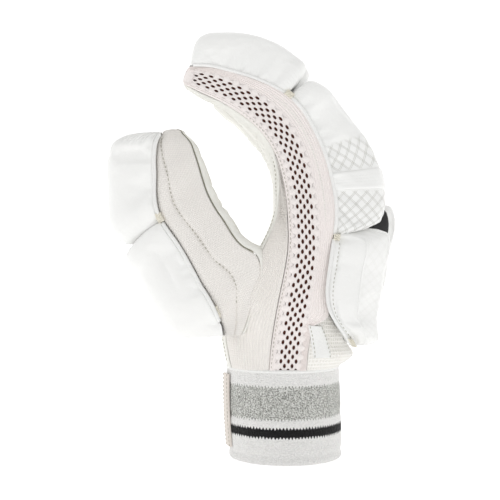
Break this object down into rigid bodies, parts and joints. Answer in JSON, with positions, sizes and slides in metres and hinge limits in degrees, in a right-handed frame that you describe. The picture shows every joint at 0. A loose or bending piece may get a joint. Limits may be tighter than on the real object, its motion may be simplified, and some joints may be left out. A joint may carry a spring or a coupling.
{
  "type": "cricket batting glove",
  "caption": "Padded batting glove for the right hand: ribbed leather rolls over curled fingers and thumb, mesh gusset, leather palm and a striped knitted cuff.",
  "frame": {"origin": "middle of the wrist opening, in the plane of the cuff's rim", "axes": "+Z from the cuff up to the fingers, +X the back of the hand, -X the palm, -Y the thumb side, +Y the little-finger side"},
  "size_m": [0.1648, 0.1058, 0.2493],
  "materials": {
    "white_leather": "smooth white leather with a soft sheen",
    "palm_leather": "matt off-white leather",
    "cotton": "off-white ribbed and woven cotton",
    "netting": "pinkish white mesh",
    "knit": "white towelling knit with a grey band and a black stripe",
    "black_leather": "satin black",
    "woven_tab": "smooth white tape, blank"
  },
  "bodies": {
    "root": {"cuff": "knit", "cuff_tape": "cotton", "palm_leather": "palm_leather", "rib_panel": "cotton", "mesh_strip": "netting", "index_front": "palm_leather", "index_back": "cotton", "middle_front": "palm_leather", "middle_back": "cotton", "ring_front": "palm_leather", "ring_back": "cotton", "little_front": "palm_leather", "little_back": "cotton", "back_panel": "cotton", "outer_side": "cotton", "fourchette_1": "cotton", "fourchette_2": "cotton", "fourchette_3": "cotton", "thumb_grip": "palm_leather", "thumb_back": "cotton", "thumb_side_near": "cotton", "thumb_side_far": "cotton", "index_tip_pad": "white_leather", "index_mid_pad": "white_leather", "index_hand_pad": "white_leather", "index_band": "white_leather", "middle_tip_pad": "white_leather", "middle_mid_pad": "white_leather", "middle_hand_pad": "white_leather", "middle_band": "white_leather", "knuckle_inset": "black_leather", "ring_tip_pad": "white_leather", "ring_mid_pad": "white_leather", "ring_hand_pad": "white_leather", "ring_band": "white_leather", "little_tip_pad": "white_leather", "little_mid_pad": "white_leather", "little_hand_pad": "white_leather", "little_band": "white_leather", "thumb_base_pad": "white_leather", "thumb_tip_pad": "white_leather", "label_tab": "woven_tab"}
  },
  "joints": []
}
